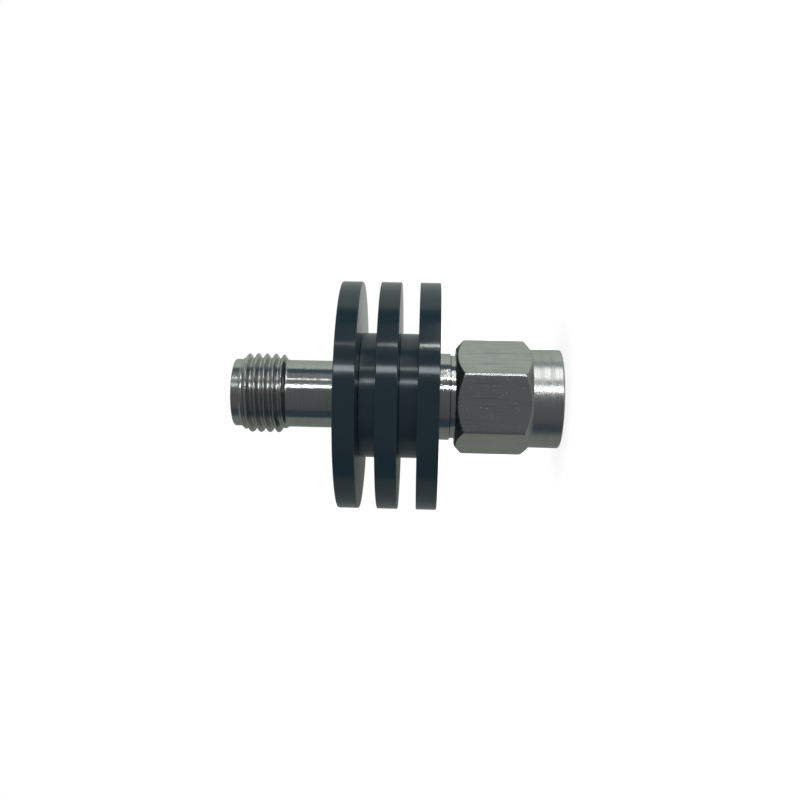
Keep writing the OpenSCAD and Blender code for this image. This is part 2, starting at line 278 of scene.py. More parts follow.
def thread_drop(heights, turn, sizes, crest_line):
    """Fall of a right-hand V thread below its crest, from 0 to the thread's depth.

    The distance from the nearest crest, at crest_line + pitch * angle / (2 pi), less half the crest's flat,
    is divided by tan(30 degrees), for flanks that meet at 60 degrees, and both corners are rounded.
    """
    crest_softness, root_softness = 0.08 * MM, 0.05 * MM
    phase = (heights - crest_line) / sizes.thread_pitch - turn / (2 * math.pi)
    off = np.abs(phase - np.round(phase)) * sizes.thread_pitch
    fall = smooth_max((off - sizes.thread_crest / 2) / math.tan(math.pi / 6), 0, crest_softness)
    return smooth_min(fall - fall.min(), sizes.thread_depth, root_softness)


def put_piece(name, shells, materials, body, node, patches=None, edge=None):
    """Joins shells into one piece that rides on a body and stands for a solid.

    patches gives each face the number of its material, and edge gives each point its share of wear.
    """
    points = np.concatenate([s["points"] for s in shells])
    starts = np.cumsum([0] + [len(s["points"]) for s in shells[:-1]])
    faces = np.concatenate([s["faces"] + start for s, start in zip(shells, starts)])
    caps = [(cap + start).tolist() for s, start in zip(shells, starts) for cap in s["caps"]]
    mesh = bpy.data.meshes.new(name)
    mesh.from_pydata(points.tolist(), [], faces.tolist() + caps)
    if edge is not None:
        mesh.attributes.new("edge", "FLOAT", "POINT").data.foreach_set("value", edge.astype(np.float32))
    if patches is not None:
        mesh.polygons.foreach_set("material_index", patches.astype(np.int32))
    mesh.update()
    set_normals(mesh, len(faces))
    for material in materials:
        mesh.materials.append(material)
    piece = bpy.data.objects.new(name, mesh)
    bpy.context.scene.collection.objects.link(piece)
    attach(piece, body)
    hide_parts(node)


def set_normals(mesh, smooth_count):
    """Normals at the faces' corners: a cap keeps its own, and the smooth faces share each point's.

    A shared one is the sum of the normals of the point's smooth faces, each times its area.
    """
    count = len(mesh.polygons)
    normal, area = np.empty(count * 3), np.empty(count)
    total = np.empty(count, np.int32)
    mesh.polygons.foreach_get("normal", normal)
    mesh.polygons.foreach_get("area", area)
    mesh.polygons.foreach_get("loop_total", total)
    normal = normal.reshape(-1, 3)
    corner = np.empty(len(mesh.loops), np.int32)
    mesh.loops.foreach_get("vertex_index", corner)
    face = np.repeat(np.arange(count), total)
    smooth = face < smooth_count
    summed = np.zeros((len(mesh.vertices), 3))
    np.add.at(summed, corner[smooth], (normal * area[:, None])[face[smooth]])
    result = normal[face]
    result[smooth] = unit(summed[corner[smooth]])
    mesh.polygons.foreach_set("use_smooth", np.ones(count, bool))
    mesh.normals_split_custom_set(result.tolist())


def add_node(tree, kind, inputs=None, stops=(), **settings):
    """Adds one shader node with its attributes and a ramp's stops, and sets or links its inputs.

    An input is a value, a socket, or a node, which stands for its first output in use.
    """
    made = tree.nodes.new("ShaderNode" + kind)
    for name, value in settings.items():
        setattr(made, name, value)
    if stops:
        ramp = made.color_ramp.elements
        while len(ramp) < len(stops):
            ramp.new(0.5)
        for stop, (place, shade) in zip(ramp, stops):
            stop.position = place
            stop.color = (*shade, 1)
    for name, value in (inputs or {}).items():
        if isinstance(value, bpy.types.Node):
            value = next(socket for socket in value.outputs if socket.enabled)
        if isinstance(value, bpy.types.NodeSocket):
            tree.links.new(value, made.inputs[name])
        else:
            made.inputs[name].default_value = value
    return made


def new_material(name):
    """Empty node material with its tree."""
    material = bpy.data.materials.new(name)
    material.use_nodes = True
    material.node_tree.nodes.clear()
    return material, material.node_tree


def finish_material(material, inputs):
    """Principled surface with the given inputs, joined to the material's output."""
    tree = material.node_tree
    add_node(tree, "OutputMaterial", {"Surface": add_node(tree, "BsdfPrincipled", inputs)})
    return material


def turned_coordinates(tree):
    """Place on the piece, and distance from the axis and height with a slow drift along the turn.

    A pattern on the second runs round the axis, as turning marks do.
    """
    place = add_node(tree, "TexCoord").outputs["Object"]
    parts = add_node(tree, "SeparateXYZ", {0: place}).outputs
    across = add_node(tree, "CombineXYZ", {"X": parts["X"], "Y": parts["Y"]})
    reach = add_node(tree, "VectorMath", {0: across}, operation="LENGTH")
    drift = add_node(tree, "VectorMath", {0: across, "Scale": 0.02}, operation="SCALE")
    swept = add_node(tree, "CombineXYZ", {"X": reach, "Y": parts["Z"]})
    return place, add_node(tree, "VectorMath", {0: swept, 1: drift})


def turned_metal(name, bright, dark, roughness, marks, ripple):
    """Metal with turning marks round the axis: rings of tone, gloss and height, over a slow polished ripple.

    marks is the spacing and depth of the rings in millimetres; a real feed of 0.02 mm is too fine to show, so
    it is drawn coarser. ripple is the size and depth of the dimples that make a reflection's edge uneven.
    """
    material, tree = new_material(name)
    place, swept = turned_coordinates(tree)
    mark_size, mark_depth = (value * MM for value in marks)
    ripple_size, ripple_depth = (value * MM for value in ripple)
    feed = add_node(tree, "TexNoise", {"Vector": swept, "Scale": 1 / mark_size, "Detail": 4})
    blotch = add_node(tree, "TexNoise", {"Vector": place, "Scale": 1 / (1.1 * MM), "Detail": 3})
    dimples = add_node(tree, "TexNoise", {"Vector": place, "Scale": 1 / ripple_size, "Detail": 2})
    mixed = add_node(tree, "Math", {0: blotch, 1: 0.5, 2: feed}, operation="MULTIPLY_ADD")
    tone = add_node(tree, "MapRange", {"Value": mixed, "From Min": 0.5, "From Max": 0.95})
    base = add_node(tree, "Mix", {"Factor": tone, "A": (*dark, 1), "B": (*bright, 1)}, data_type="RGBA")
    dull, glossy = roughness * 1.3, roughness * 0.75
    gloss = add_node(tree, "MapRange", {"Value": mixed, "From Min": 0.5, "To Min": dull, "To Max": glossy})
    rings = add_node(tree, "Bump", {"Distance": mark_depth, "Height": feed})
    bump = add_node(tree, "Bump", {"Distance": ripple_depth, "Height": dimples, "Normal": rings})
    return finish_material(material, {"Base Color": base, "Metallic": 1, "Roughness": gloss, "Normal": bump})


def anodised_aluminium(name, dye, worn_dye, roughness):
    """Turned aluminium, black anodised: a bluish black dyed oxide, fine lathe rings and paler worn edges."""
    material, tree = new_material(name)
    place, swept = turned_coordinates(tree)
    rings = add_node(tree, "TexNoise", {"Vector": swept, "Scale": 1 / (0.07 * MM), "Detail": 3})
    grain = add_node(tree, "TexNoise", {"Vector": place, "Scale": 1 / (0.12 * MM), "Detail": 4})
    cloud = add_node(tree, "TexNoise", {"Vector": place, "Scale": 1 / (2.5 * MM), "Detail": 2})
    edge = add_node(tree, "Attribute", attribute_name="edge").outputs["Fac"]
    worn = add_node(tree, "Math", {0: edge, 1: grain}, operation="MULTIPLY", use_clamp=True)
    shade = add_node(tree, "MapRange", {"Value": cloud, "To Min": 0.85, "To Max": 1.15})
    dyed = add_node(tree, "VectorMath", {0: dye, "Scale": shade}, operation="SCALE")
    base = add_node(tree, "Mix", {"Factor": worn, "A": dyed, "B": (*worn_dye, 1)}, data_type="RGBA")
    low, high = roughness * 0.8, roughness * 1.2
    gloss = add_node(
        tree, "MapRange", {"Value": grain, "From Min": 0.3, "From Max": 0.7, "To Min": low, "To Max": high}
    )
    height = add_node(tree, "Math", {0: grain, 1: 0.6, 2: rings}, operation="MULTIPLY_ADD")
    bump = add_node(tree, "Bump", {"Distance": 0.0008 * MM, "Height": height})
    return finish_material(material, {"Base Color": base, "Roughness": gloss, "IOR": 1.5, "Normal": bump})


def brushed_steel(colours):
    """Stainless steel bar, drawn and brushed along the nut: fine scratches, darker scores, bright nicks."""
    material, tree = new_material("Stainless steel, drawn and brushed")
    place = add_node(tree, "TexCoord").outputs["Object"]
    drawn = add_node(tree, "VectorMath", {0: place, 1: (1, 1, 0.04)}, operation="MULTIPLY")
    lines = add_node(tree, "TexNoise", {"Vector": drawn, "Scale": 1 / (0.09 * MM), "Detail": 4})
    cloud = add_node(tree, "TexNoise", {"Vector": place, "Scale": 1 / (0.8 * MM), "Detail": 3})
    mixed = add_node(tree, "Math", {0: cloud, 1: 0.5, 2: lines}, operation="MULTIPLY_ADD")
    tone = add_node(tree, "MapRange", {"Value": mixed, "From Min": 0.5, "From Max": 1})
    dark, bright, score = (*colours.steel_dark, 1), (*colours.steel, 1), (*colours.steel_score, 1)
    base = add_node(tree, "Mix", {"Factor": tone, "A": dark, "B": bright}, data_type="RGBA")
    stretched = add_node(tree, "VectorMath", {0: place, 1: (1, 1, 0.03)}, operation="MULTIPLY")
    scores = add_node(tree, "TexNoise", {"Vector": stretched, "Scale": 1 / (0.14 * MM), "Detail": 3})
    depth = add_node(tree, "MapRange", {"Value": scores, "From Min": 0.58, "From Max": 0.72})
    scored = add_node(tree, "Mix", {"Factor": depth, "A": base, "B": score}, data_type="RGBA")
    nicks = add_node(tree, "TexNoise", {"Vector": place, "Scale": 1 / (0.16 * MM), "Detail": 2})
    speck = add_node(tree, "MapRange", {"Value": nicks, "From Min": 0.67, "From Max": 0.76})
    scratches = add_node(tree, "Bump", {"Distance": 0.003 * MM, "Height": lines})
    bump = add_node(tree, "Bump", {"Distance": 0.005 * MM, "Height": speck, "Normal": scratches})
    smooth = add_node(tree, "MapRange", {"Value": mixed, "From Min": 0.5, "To Min": 0.27, "To Max": 0.2})
    gloss = add_node(tree, "Math", {0: speck, 1: 0.35, 2: smooth}, operation="MULTIPLY_ADD")
    return finish_material(
        material, {"Base Color": scored, "Metallic": 1, "Roughness": gloss, "Normal": bump}
    )


def cut_polymer(name, shade, roughness, grain, variation):
    """Cut or moulded polymer: an even matt colour with a slow drift of tone and a fine surface grain.

    grain is its size and depth in millimetres, and variation is the share by which the tone drifts.
    """
    material, tree = new_material(name)
    place, swept = turned_coordinates(tree)
    grain_size, grain_depth = (value * MM for value in grain)
    cut = add_node(tree, "TexNoise", {"Vector": swept, "Scale": 1 / grain_size, "Detail": 3})
    cloud = add_node(tree, "TexNoise", {"Vector": place, "Scale": 1 / (0.9 * MM), "Detail": 2})
    drift = add_node(tree, "MapRange", {"Value": cloud, "To Min": 1 - variation})
    base = add_node(tree, "VectorMath", {0: shade, "Scale": drift}, operation="SCALE")
    low, high = roughness * 0.85, roughness * 1.15
    gloss = add_node(tree, "MapRange", {"Value": cut, "To Min": low, "To Max": high})
    bump = add_node(tree, "Bump", {"Distance": grain_depth, "Height": cut})
    return finish_material(material, {"Base Color": base, "Roughness": gloss, "Normal": bump})


def printed_alumina(colours):
    """Fired alumina with a printed film: an off-white matt plate, dark in the middle, bare at its margins."""
    material, tree = new_material("Fired alumina, printed film")
    low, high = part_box("attenuator_chip")
    middle, size = (low + high) / 2, high - low
    film_width, film_length = 0.8 * size.x, 0.68 * size.z
    place = add_node(tree, "TexCoord").outputs["Object"]
    centred = add_node(tree, "VectorMath", {0: place, 1: middle}, operation="SUBTRACT")
    folded = add_node(tree, "VectorMath", {0: centred}, operation="ABSOLUTE")
    parts = add_node(tree, "SeparateXYZ", {0: folded}).outputs
    along = add_node(tree, "Math", {0: parts["Z"], 1: film_length / 2}, operation="LESS_THAN")
    across = add_node(tree, "Math", {0: parts["X"], 1: film_width / 2}, operation="LESS_THAN")
    film = add_node(tree, "Math", {0: along, 1: across}, operation="MULTIPLY")
    plate, print_shade = (*colours.alumina, 1), (*colours.film, 1)
    base = add_node(tree, "Mix", {"Factor": film, "A": plate, "B": print_shade}, data_type="RGBA")
    grain = add_node(tree, "TexNoise", {"Vector": place, "Scale": 1 / (0.05 * MM), "Detail": 3})
    gloss = add_node(tree, "MapRange", {"Value": grain, "To Min": 0.4, "To Max": 0.6})
    bump = add_node(tree, "Bump", {"Distance": 0.003 * MM, "Height": grain})
    return finish_material(material, {"Base Color": base, "Roughness": gloss, "Normal": bump})


def shaded(shade, share):
    """A colour with each of its values times a share."""
    return tuple(value * share for value in shade)


def shell_steel(colours):
    """Stainless steel as turned and passivated, on the two shells; made once and shared."""
    name = "Stainless steel, turned"
    return bpy.data.materials.get(name) or turned_metal(
        name, colours.steel, colours.steel_dark, 0.09, marks=(0.11, 0.0003), ripple=(0.17, 0.007)
    )


def gold_plate(colours):
    """Gold plated contacts; made once and shared."""
    name = "Gold plate on turned bronze"
    return bpy.data.materials.get(name) or turned_metal(
        name, colours.gold, shaded(colours.gold, 0.75), 0.2, marks=(0.06, 0.0006), ripple=(0.2, 0.002)
    )


def ptfe(colours):
    """PTFE cut on the lathe; made once and shared."""
    name = "PTFE, cut on the lathe"
    return bpy.data.materials.get(name) or cut_polymer(
        name, colours.ptfe, 0.45, grain=(0.08, 0.002), variation=0.06
    )


def put_bead(name, node, flange_below, s, c):
    """Bead: a ring of PTFE round a conductor, with its flange at the lower or the upper end."""
    low, high, flange = span(node)
    hole, body, e = s.conductor + FIT_GAP, s.bead_bore - FIT_GAP, s.soft_edge
    lower, step, upper = body, high - s.bead_flange, flange
    if flange_below:
        lower, step, upper = flange, low + s.bead_flange, body
    corners = [
        (hole, low, e),
        (lower, low, e),
        (lower, step, e),
        (upper, step, e),
        (upper, high, e),
        (hole, high, e),
    ]
    put_piece(name, [turned(corners)], [ptfe(c)], BODY, node)


class AttenuatorHeatSink(bpy.types.Operator):
    """Finned heat sink: one outline of fins and hub, carried round the axis."""

    bl_idname = "attenuator.heat_sink"
    bl_label = "Heat sink"

    def execute(self, context):
        s, c = context.scene.attenuator_sizes, context.scene.attenuator_colours
        low, high, radius = span("heat_sink")
        fins, columns = 3, 288
        pitch = (high - low - s.fin_thickness) / (fins - 1)
        bore, hub, e = s.sink_bore / 2, s.hub_diameter / 2, s.soft_edge
        corners = [(bore, low, e)]
        for i in range(fins):
            start = low + i * pitch
            end = start + s.fin_thickness
            if i > 0:
                corners.append((hub, start, e))
            corners += [(radius, start, s.fin_edge), (radius, end, s.fin_edge)]
            if i < fins - 1:
                corners.append((hub, end, e))
        corners.append((bore, high, e))

        # The face after a corner is a fin's side, part of the hub or bore, or a rim
        here = np.array(corners)[:, :2]
        along = np.abs(np.roll(here, -1, 0) - here)
        zones = np.where(along[:, 0] > along[:, 1], 1, np.where(here[:, 0] < radius, 2, 0))
        wear = np.outer(here[:, 0] != hub, np.sin(math.pi * np.linspace(0, 1, ARC_STEPS)))
        rim = anodised_aluminium("Turned aluminium, black anodised", c.anodised, c.anodised_worn, 0.12)
        side = anodised_aluminium("Faced aluminium, black anodised", c.anodised, c.anodised_worn, 0.22)
        # The hub's paler colour is painted light that offsets the shade between the fins, not a different
        # dye.
        groove = anodised_aluminium(
            "Grooved aluminium, black anodised, painted lighter", c.anodised_hub_painted_lighter, c.anodised_hub_painted_lighter, 0.18
        )
        put_piece(
            "finned_heat_sink",
            [turned(corners, columns)],
            [rim, side, groove],
            BODY,
            "heat_sink",
            patches=np.repeat(zones, ARC_STEPS * columns),
            edge=np.repeat(wear, columns),
        )
        return {"FINISHED"}


class AttenuatorJack(bpy.types.Operator):
    """Jack: threaded outer shell, bead and slotted socket."""

    bl_idname = "attenuator.jack"
    bl_label = "Jack"

    def execute(self, context):
        s, c = context.scene.attenuator_sizes, context.scene.attenuator_colours
        self.shell(s, c)
        put_bead("jack_bead", "jack_dielectric", True, s, c)
        self.socket(s, c)
        return {"FINISHED"}

    def shell(self, s, c):
        """Outer shell: a closed outline round the axis, with threaded rows whose radius turns with the angle.

        In those rows the radius is the crest less the thread's drop, held under the front chamfer. At the
        back its height over the neck fades by f^2 * (3 - 2 f), where f is the share of the run-out's length.
        """
        low, top, _ = span("jack_shell")
        sink_top = span("heat_sink")[1]
        spigot = s.sink_bore / 2 - FIT_GAP
        neck = s.jack_mouth + s.jack_wall
        plane = top - s.jack_mouth_depth
        pocket = low + s.bead_flange + FIT_GAP
        flange = span("jack_dielectric")[2] + FIT_GAP
        e = s.soft_edge
        corners = [
            (neck, top, 2 * e),
            (s.jack_mouth, top, 2 * e),
            (s.jack_mouth, plane, e),
            (s.bead_bore, plane, e),
            (s.bead_bore, pocket, e),
            (flange, pocket, e),
            (flange, low, e),
            (spigot, low, e),
            (spigot, sink_top, e),
            (neck, sink_top, e),
        ]
        outline = rounded_arcs(corners).reshape(-1, 2)

        # One crest's height on the +X side, which places the thread as the picture shows it
        crest_line, chamfer_softness = 23.988 * MM, 0.05 * MM
        end = top - s.jack_nose
        start = end - s.thread_length
        turn = full_turn(288)
        heights = np.linspace(start, end, 160)[:, None]
        chamfer = neck + end - heights
        crest = s.thread_radius - thread_drop(heights, turn, s, crest_line)
        root = np.minimum(s.thread_radius - s.thread_depth, chamfer)
        thread = np.maximum(smooth_min(crest, chamfer, chamfer_softness), root)
        fade = np.clip((heights - start) / s.thread_run_out, 0, 1)
        radius = neck + fade**2 * (3 - 2 * fade) * (thread - neck)

        radii = np.concatenate([np.broadcast_to(outline[:, :1], (len(outline), len(turn))), radius])
        rows = np.concatenate([outline[:, 1], heights[:, 0]])
        name = "Stainless steel, cut thread"
        cut = turned_metal(name, c.steel, c.steel_dark, 0.2, marks=(0.09, 0.0005), ripple=(0.14, 0.006))
        put_piece(
            "jack_outer_shell",
            [lathe(radii, rows, turn)],
            [shell_steel(c), cut],
            BODY,
            "jack_shell",
            patches=np.repeat(np.arange(len(rows)) >= len(outline), len(turn)),
        )

    def socket(self, s, c):
        """Socket: a drilled rod, four bars bent round the axis as its fingers, and two half-round prongs."""
        low, high, flange = span("jack_contact")
        step, e = low + s.fork_length, 0.5 * s.soft_edge
        slot_z = high - s.slot_length
        r = s.conductor
        stem = rod(
            [
                (0, step, e),
                (flange, step, e),
                (flange, step + s.conductor_flange, e),
                (r, step + s.conductor_flange, e),
                (r, slot_z, e),
                (s.socket, slot_z, e),
                (s.socket, high - s.socket_depth, e),
                (0, high - s.socket_depth, e),
            ]
        )
        reach = math.asin(s.slot_width / (r + s.socket))
        finger = [(s.socket, slot_z, e), (r, slot_z, e), (r, high, 1.5 * e), (s.socket, high, 1.5 * e)]
        slots = (np.arange(5) + 0.5) * math.pi / 2
        fingers = [arc_bar(finger, a + reach, b - reach, 20) for a, b in zip(slots[:-1], slots[1:])]
        prongs = [fork_prong(r, s.fork_slot, low, step, side) for side in (1, -1)]
        shells = [stem, *fingers, *prongs]
        put_piece("jack_socket", shells, [gold_plate(c)], BODY, "jack_contact")


class AttenuatorPlug(bpy.types.Operator):
    """Plug: outer shell with the nut's seat, bead, centre pin, face gasket and snap ring."""

    bl_idname = "attenuator.plug"
    bl_label = "Plug"

    def execute(self, context):
        s, c = context.scene.attenuator_sizes, context.scene.attenuator_colours
        self.shell(s, c)
        put_bead("plug_bead", "plug_dielectric", False, s, c)
        self.centre_pin(s, c)
        self.gasket(s, c)
        self.ring(s, c)
        return {"FINISHED"}

    def shell(self, s, c):
        """Outer shell: sleeve, shoulder, ring groove, collar and spigot as one outline round the axis."""
        low, high, _ = span("plug_shell")
        sink_low = span("heat_sink")[0]
        shoulder = span("face_gasket")[1]
        ring_low, ring_high, _ = span("snap_ring")
        groove_low, groove_high = ring_low - NUT_FLOAT - FIT_GAP, ring_high + FIT_GAP
        spigot = s.sink_bore / 2 - FIT_GAP
        flange = span("plug_dielectric")[2] + FIT_GAP
        pocket = high - s.bead_flange - FIT_GAP
        collar_z = sink_low - s.collar_length
        e = s.soft_edge
        corners = [
            (s.bead_bore, low, e),
            (s.plug_sleeve, low, e),
            (s.plug_sleeve, shoulder, e),
            (s.plug_body, shoulder, e),
            (s.plug_body, groove_low, e),
            (s.plug_groove, groove_low, e),
            (s.plug_groove, groove_high, e),
            (s.plug_body, groove_high, e),
            (s.plug_body, collar_z, e),
            (s.plug_collar, collar_z, e),
            (s.plug_collar, sink_low, 0.5 * e),
            (spigot, sink_low, e),
            (spigot, high, e),
            (flange, high, e),
            (flange, pocket, e),
            (s.bead_bore, pocket, e),
        ]
        shell = turned(corners, 192)
        put_piece("plug_outer_shell", [shell], [shell_steel(c)], BODY, "plug_shell")

    def centre_pin(self, s, c):
        """Centre pin: a pointed rod with its flange, and two half-round prongs."""
        low, high, flange = span("plug_pin")
        plane = span("plug_shell")[0]
        step, e = high - s.fork_length, 0.5 * s.soft_edge
        r = s.conductor
        pin = rod(
            [
                (0, low, e),
                (s.pin_point, low, 1.2 * e),
                (s.pin, low + s.pin_taper, 1.5 * e),
                (s.pin, plane, e),
                (r, plane, e),
                (r, step - s.conductor_flange, e),
                (flange, step - s.conductor_flange, e),
                (flange, step, e),
                (0, step, e),
            ]
        )
        prongs = [fork_prong(r, s.fork_slot, step, high, side) for side in (1, -1)]
        put_piece("plug_centre_pin", [pin, *prongs], [gold_plate(c)], BODY, "plug_pin")

    def gasket(self, s, c):
        """Gasket: a ring with well rounded edges."""
        low, high, outer = span("face_gasket")
        inner, e = s.plug_sleeve + FIT_GAP, s.gasket_edge
        ring = turned([(inner, low, e), (outer, low, e), (outer, high, e), (inner, high, e)])
        name = "Silicone rubber, moulded"
        silicone = cut_polymer(name, c.silicone, 0.55, grain=(0.1, 0.003), variation=0.12)
        put_piece("moulded_gasket", [ring], [silicone], BODY, "face_gasket")

    def ring(self, s, c):
        """Snap ring: a bar bent round the axis, open at its split on the +X side."""
        low, high, _ = span("snap_ring")
        outer, inner, e = -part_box("snap_ring")[0].x, s.plug_groove + RING_GAP, s.soft_edge
        reach = math.asin(s.ring_split / 2 / outer)
        corners = [(inner, low, e), (outer, low, e), (outer, high, e), (inner, high, e)]
        bar = arc_bar(corners, reach, 2 * math.pi - reach, 150)
        name, dark = "Spring bronze, rolled", shaded(c.bronze, 0.7)
        bronze = turned_metal(name, c.bronze, dark, 0.28, marks=(0.09, 0.0006), ripple=(0.3, 0.003))
        put_piece("split_snap_ring", [bar], [bronze], RING, "snap_ring")


class AttenuatorNut(bpy.types.Operator):
    """Coupling nut: chamfered hexagon, round nose, and the threaded bore."""

    bl_idname = "attenuator.coupling_nut"
    bl_label = "Coupling nut"

    def execute(self, context):
        s, c = context.scene.attenuator_sizes, context.scene.attenuator_colours
        turn, hexagon = self.hexagon(s)
        heights, outer, flat = self.outside(s, hexagon)
        rear, inside, bore, front = self.inside(s, turn)
        plain = [np.broadcast_to(rows[:, :1], (len(rows), len(turn))) for rows in (rear, front)]
        radii = np.concatenate([plain[0], bore, plain[1], outer])
        rows = np.concatenate([rear[:, 1], inside[:, 0], front[:, 1], heights[:, 0]])
        patches = np.zeros(radii.shape, bool)
        patches[-len(heights) :] = flat
        name = "Stainless steel, turned nose"
        nose = turned_metal(name, c.steel, c.steel_dark, 0.25, marks=(0.13, 0.0005), ripple=(0.09, 0.005))
        put_piece(
            "hexagon_nut",
            [lathe(radii, rows, turn)],
            [nose, brushed_steel(c)],
            NUT,
            "coupling_nut",
            patches=patches.ravel(),
        )
        return {"FINISHED"}

    def hexagon(self, s):
        """Angles that crowd towards the six corners, and the radius of a hexagon with softened corners there.

        The radius is (sum of (cos(angle to each flat) / half width) ^ p) ^ (-1 / p).
        """
        power, crowding, steps = 56, 0.8, 56
        sixth = math.pi / 3
        share = np.linspace(0, 1, steps, endpoint=False)
        sector = (share - crowding * np.sin(2 * math.pi * share) / (2 * math.pi)) * sixth
        corners = s.nut_turn + np.arange(6)[:, None] * sixth
        turn = (corners + sector).ravel()
        facing = np.maximum(np.cos(turn - corners - sixth / 2), 0) / (s.across_flats / 2)
        return turn, (facing**power).sum(0) ** (-1 / power)

    def outside(self, s, hexagon):
        """Heights and radii of the hexagon held under its two chamfer cones, and where it lies below them."""
        low, high, _ = span("coupling_nut")
        hex_low = low + s.nose_length
        zone, overlap = 0.75 * MM, 0.01 * MM
        cone_softness, nose_softness = 0.07 * MM, 0.02 * MM
        heights = np.concatenate(
            [
                np.linspace(hex_low - overlap, hex_low + zone, 40),
                np.linspace(hex_low + zone, high - zone, 16)[1:-1],
                np.linspace(high - zone, high, 40),
            ]
        )[:, None]
        face = s.across_flats / 2 - s.nut_edge
        cone = face + np.minimum(heights - hex_low, high - heights) / math.tan(s.chamfer_angle)
        outer = smooth_min(hexagon, cone, cone_softness)
        over_nose = smooth_max(outer, s.nose_diameter / 2, nose_softness)
        return heights, np.where(heights < hex_low + zone, over_nose, outer), hexagon < cone

    def inside(self, s, turn):
        """Outline of the bore with the ring's groove, threaded rows with their lead-in, and the front rim."""
        low, high, _ = span("coupling_nut")
        ring_low, ring_high, _ = span("snap_ring")
        groove_low, groove_high = ring_low - FIT_GAP, ring_high + FIT_GAP
        groove = -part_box("snap_ring")[0].x + RING_GAP
        nose, e = s.nose_diameter / 2, s.soft_edge
        crest_line, depth_share, lead_softness = 0.2 * MM, 0.88, 0.02 * MM
        corners = [
            (s.nut_bore, high, 2 * e),
            (s.nut_bore, groove_high, e),
            (groove, groove_high, e),
            (groove, groove_low, e),
            (s.nut_bore, groove_low, e),
            (s.nut_bore, s.nut_counterbore, e),
            (s.nut_minor, s.nut_counterbore, e),
            (s.nut_minor, low, e),
            (nose, low, 2.5 * e),
            (nose, high, e),
        ]
        arcs = rounded_arcs(corners)
        heights = np.linspace(s.nut_counterbore - 2 * e, low, 120)[:, None]
        lead = s.nut_lead - (heights - low)
        bore = s.nut_minor + depth_share * thread_drop(heights, turn, s, crest_line)
        return arcs[:7].reshape(-1, 2), heights, smooth_max(bore, lead, lead_softness), arcs[8]


class AttenuatorChip(bpy.types.Operator):
    """Chip and its two carriers: solids of the frame that keep their shape and get their finish."""

    bl_idname = "attenuator.chip"
    bl_label = "Chip and carriers"

    def execute(self, context):
        c = context.scene.attenuator_colours
        name, dark = "Brass, milled and plated", shaded(c.brass, 0.75)
        brass = turned_metal(name, c.brass, dark, 0.25, marks=(0.1, 0.001), ripple=(0.3, 0.003))
        for node in ("front_chip_carrier", "rear_chip_carrier"):
            self.dress(node, brass)
        self.dress("attenuator_chip", printed_alumina(c))
        return {"FINISHED"}

    def dress(self, node, material):
        """Gives a solid of the frame its finish."""
        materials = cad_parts[node].data.materials
        materials.clear()
        materials.append(material)


